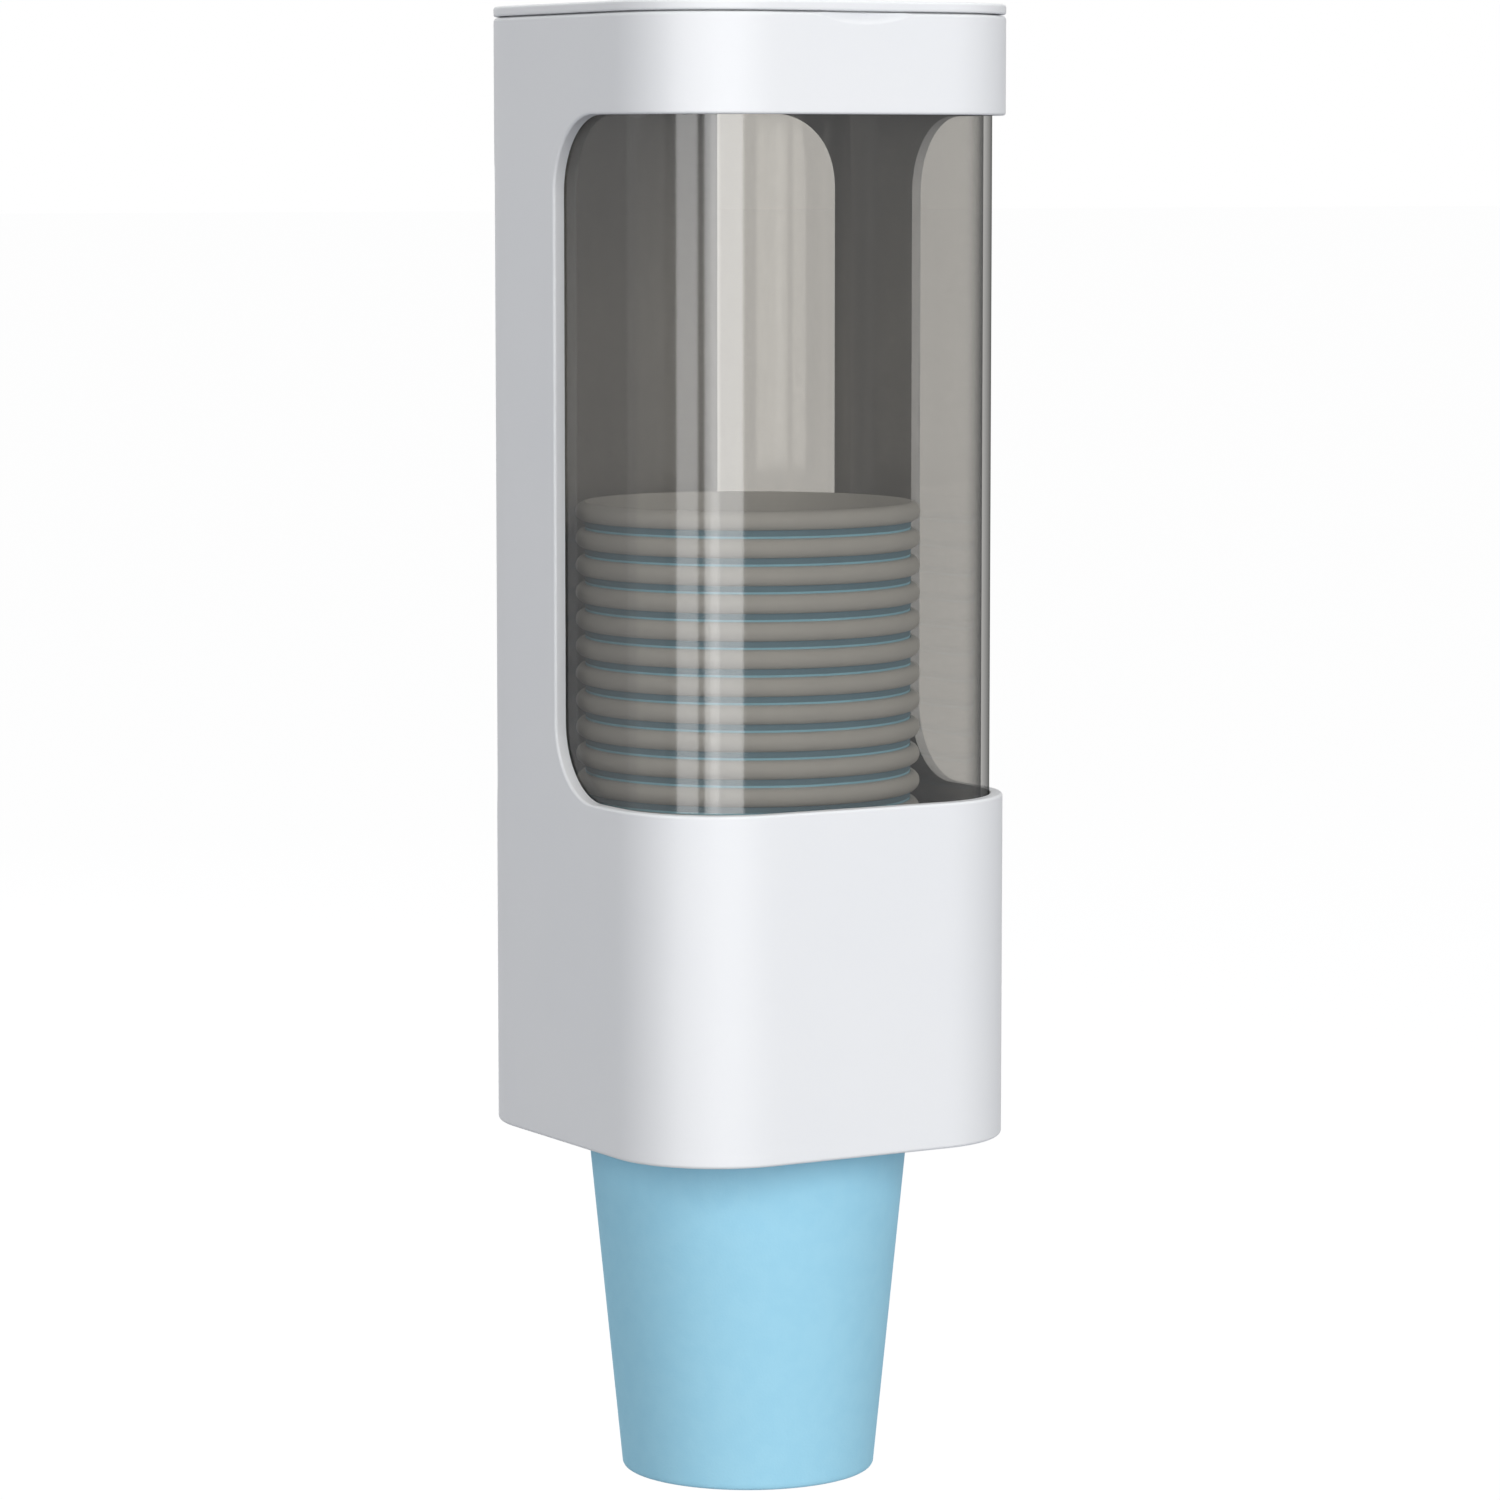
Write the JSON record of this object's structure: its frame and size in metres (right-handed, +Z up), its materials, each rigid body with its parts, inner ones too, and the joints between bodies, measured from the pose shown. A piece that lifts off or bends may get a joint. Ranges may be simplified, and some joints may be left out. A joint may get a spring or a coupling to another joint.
{
  "type": "cup dispenser",
  "caption": "Wall-hung pull-down dispenser: white moulded housing with a smoked wrap-around window, hinged lid and a soft ring that holds a stack of paper cups by the lowest rim.",
  "frame": {"origin": "middle of the bracket's back face, which lies against the wall", "axes": "+Y into the wall, +Z up, and +X on the right of someone who looks at the dispenser's front, which faces -Y"},
  "size_m": [0.09, 0.0983, 0.3116],
  "materials": {
    "housing_plastic": "white moulded plastic with a soft gloss",
    "bracket_plastic": "white moulded plastic, matte",
    "smoked_plastic": "clear smoked plastic, polished",
    "steel": "plain steel",
    "soft_rubber": "soft translucent white rubber",
    "cup_paper": "light blue printed paper, white inside and at the rim"
  },
  "bodies": {
    "bracket": {"wall_bracket": "bracket_plastic"},
    "dispenser": {"housing_shell": "housing_plastic", "window_sleeve": "smoked_plastic", "lid_hinge_pin": "steel", "cup_gasket": "soft_rubber", "clamp_ring": "bracket_plastic", "ring_screw_1": "steel", "ring_screw_2": "steel", "ring_screw_3": "steel", "ring_screw_4": "steel"},
    "lid": {"lid": "housing_plastic"},
    "pulled_cup": {"cup_01": "cup_paper"},
    "cup_stack": {"cup_02": "cup_paper", "cup_03": "cup_paper", "cup_04": "cup_paper", "cup_05": "cup_paper", "cup_06": "cup_paper", "cup_07": "cup_paper", "cup_08": "cup_paper", "cup_09": "cup_paper", "cup_10": "cup_paper", "cup_11": "cup_paper", "cup_12": "cup_paper", "cup_13": "cup_paper", "cup_14": "cup_paper", "cup_15": "cup_paper", "cup_16": "cup_paper", "cup_17": "cup_paper", "cup_18": "cup_paper", "cup_19": "cup_paper", "cup_20": "cup_paper", "cup_21": "cup_paper", "cup_22": "cup_paper", "cup_23": "cup_paper"}
  },
  "joints": [
    {"name": "body_lift", "type": "slide", "parent": "bracket", "child": "dispenser", "axis": [0, 0, 1], "range_m": [0, 0.014]},
    {"name": "lid_hinge", "type": "hinge", "parent": "dispenser", "child": "lid", "pos_m": [0, -0.0022, 0.1173], "axis": [-1, 0, 0], "range_deg": [0, 90]},
    {"name": "cup_pull", "type": "slide", "parent": "dispenser", "child": "pulled_cup", "axis": [0, 0, -1], "range_m": [0, 0.096], "deforming": ["cup_gasket"]},
    {"name": "stack_drop", "type": "slide", "parent": "dispenser", "child": "cup_stack", "axis": [0, 0, -1], "range_m": [0, 0.00573]}
  ],
  "couplings": [
    {"joint": "stack_drop", "follows": "cup_pull", "ratio": 0.059687}
  ]
}
